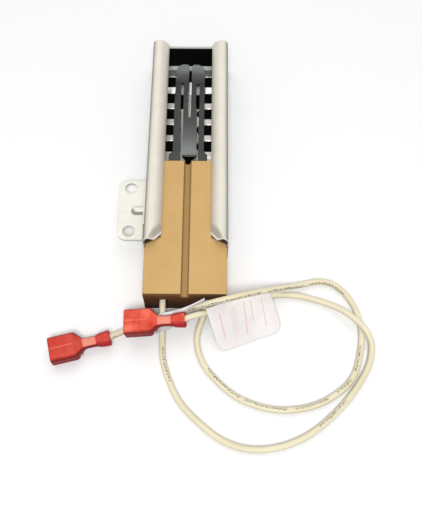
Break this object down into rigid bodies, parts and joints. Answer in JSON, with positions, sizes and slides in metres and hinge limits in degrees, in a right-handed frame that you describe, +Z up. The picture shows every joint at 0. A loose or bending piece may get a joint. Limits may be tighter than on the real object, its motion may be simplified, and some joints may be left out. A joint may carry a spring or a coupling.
{
  "type": "flat hot surface igniter",
  "caption": "Flat silicon carbide igniter in a tan ceramic block, guarded by a slotted steel channel with a side bracket, with cream leads ending in red spade terminals.",
  "frame": {"origin": "On the supporting surface, under the centre of the igniter and its bracket; the leads and what is on them are left out.", "axes": "+Y from the lead end to the element tip, +X away from the bracket, +Z up out of the open front of the channel. The part lies on its rear cover."},
  "size_m": [0.1082, 0.153, 0.016],
  "materials": {
    "channel_steel": "satin",
    "cover_steel": "dark scale",
    "bracket_steel": "satin",
    "weld_metal": "spot weld",
    "block_ceramic": "matte unglazed, tan",
    "silicon_carbide": "matte dark grey",
    "pad_ceramic": "matte",
    "clip_metal": "satin",
    "nickel_wire": "satin",
    "cement": "rough",
    "lead_sleeving": "varnished braid, cream",
    "red_insulator": "translucent red",
    "tinned_brass": "tinned",
    "tag_paper": "coated, blank"
  },
  "bodies": {
    "root": {"bracket_weld_marks": "weld_metal", "ceramic_block": "block_ceramic", "element_cement_plugs": "cement", "lead_cement_plugs": "cement", "lead_tag_flap": "tag_paper", "lead_tag_tail": "tag_paper", "left_conductor_end": "nickel_wire", "left_contact_pad": "pad_ceramic", "left_crimp_ferrule": "tinned_brass", "left_inner_conductor": "nickel_wire", "left_lead": "lead_sleeving", "left_lead_clip": "clip_metal", "left_receptacle": "tinned_brass", "left_terminal_insulator": "red_insulator", "mounting_bracket": "bracket_steel", "rear_cover_plate": "cover_steel", "right_conductor_end": "nickel_wire", "right_contact_pad": "pad_ceramic", "right_crimp_ferrule": "tinned_brass", "right_inner_conductor": "nickel_wire", "right_lead": "lead_sleeving", "right_lead_clip": "clip_metal", "right_receptacle": "tinned_brass", "right_terminal_insulator": "red_insulator", "shield_channel": "channel_steel", "sic_element": "silicon_carbide"}
  },
  "joints": []
}
